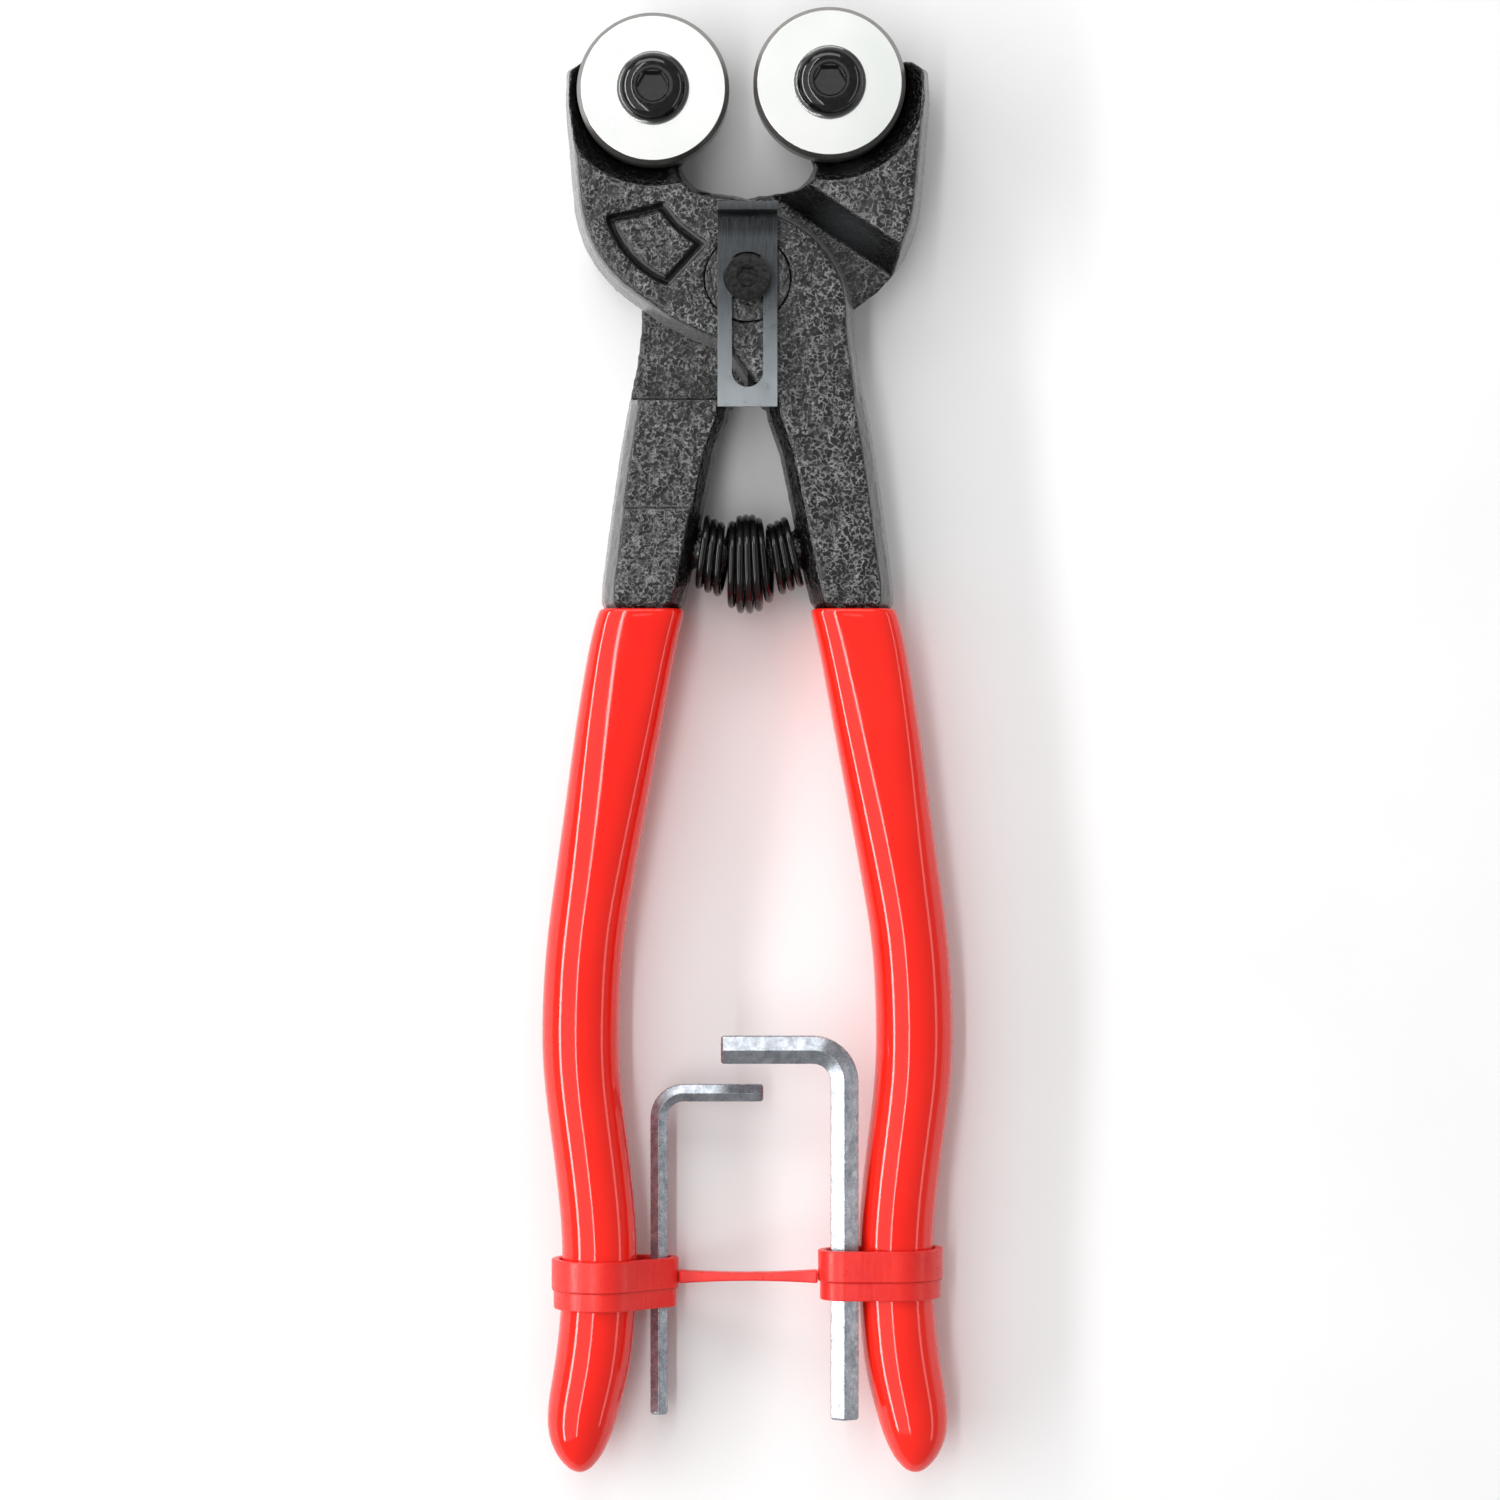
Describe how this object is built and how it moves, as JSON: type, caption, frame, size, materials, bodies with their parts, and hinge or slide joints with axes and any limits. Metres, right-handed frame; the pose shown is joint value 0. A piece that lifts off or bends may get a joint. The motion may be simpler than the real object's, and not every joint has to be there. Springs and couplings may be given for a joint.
{
  "type": "mosaic glass nippers",
  "caption": "Hand nippers with two round cutting wheels on black forged jaws, a slotted depth stop, a barrel spring, red dipped grips and a holder with two hex keys.",
  "frame": {"origin": "on the pivot axis at the back face of the head, where the tool rests", "axes": "+Z out of the front face along the pivot axis, +Y towards the cutting wheels, +X towards the right-hand handle"},
  "size_m": [0.06, 0.2122, 0.0199],
  "materials": {
    "forging": "rough black coated forging",
    "pin": "dark turned steel",
    "wheel": "ground and polished hard metal",
    "screw": "black oxide, semi-gloss",
    "stop_plate": "blued spring steel",
    "spring_wire": "gloss black",
    "grip": "dipped glossy PVC",
    "holder": "semi-gloss moulded",
    "key": "bright zinc plated"
  },
  "bodies": {
    "rear_half": {"rear_half": "forging", "pivot_pin": "pin", "depth_stop_screw": "screw", "right_wheel_screw": "screw", "left_grip": "grip", "handle_spring": "spring_wire", "key_holder_left_ring": "holder", "key_holder_strap": "holder"},
    "front_half": {"front_half": "forging", "left_wheel_screw": "screw", "right_grip": "grip", "key_holder_right_ring": "holder"},
    "left_wheel": {"left_wheel": "wheel"},
    "right_wheel": {"right_wheel": "wheel"},
    "depth_stop": {"depth_stop": "stop_plate"},
    "small_hex_key": {"small_hex_key": "key"},
    "large_hex_key": {"large_hex_key": "key"}
  },
  "joints": [
    {"name": "jaw_pivot", "type": "hinge", "parent": "rear_half", "child": "front_half", "pos_m": [0, 0, 0.007], "axis": [0, 0, -1], "range_deg": [0, 6.8], "stiffness_Nm_per_rad": 1.5, "springref_deg": -8.59, "deforming": ["handle_spring", "key_holder_strap"]},
    {"name": "left_wheel_turn", "type": "hinge", "parent": "front_half", "child": "left_wheel", "pos_m": [-0.01363, 0.02745, 0.011], "axis": [0, 0, 1], "continuous": true},
    {"name": "right_wheel_turn", "type": "hinge", "parent": "rear_half", "child": "right_wheel", "pos_m": [0.01183, 0.02828, 0.011], "axis": [0, 0, 1], "continuous": true},
    {"name": "depth_stop_slide", "type": "slide", "parent": "rear_half", "child": "depth_stop", "axis": [0, 1, 0], "range_m": [0, 0.0135]},
    {"name": "small_key_slide", "type": "slide", "parent": "rear_half", "child": "small_hex_key", "axis": [0, 1, 0], "range_m": [0, 0.026]},
    {"name": "large_key_slide", "type": "slide", "parent": "front_half", "child": "large_hex_key", "axis": [0, 1, 0], "range_m": [0, 0.026]}
  ]
}
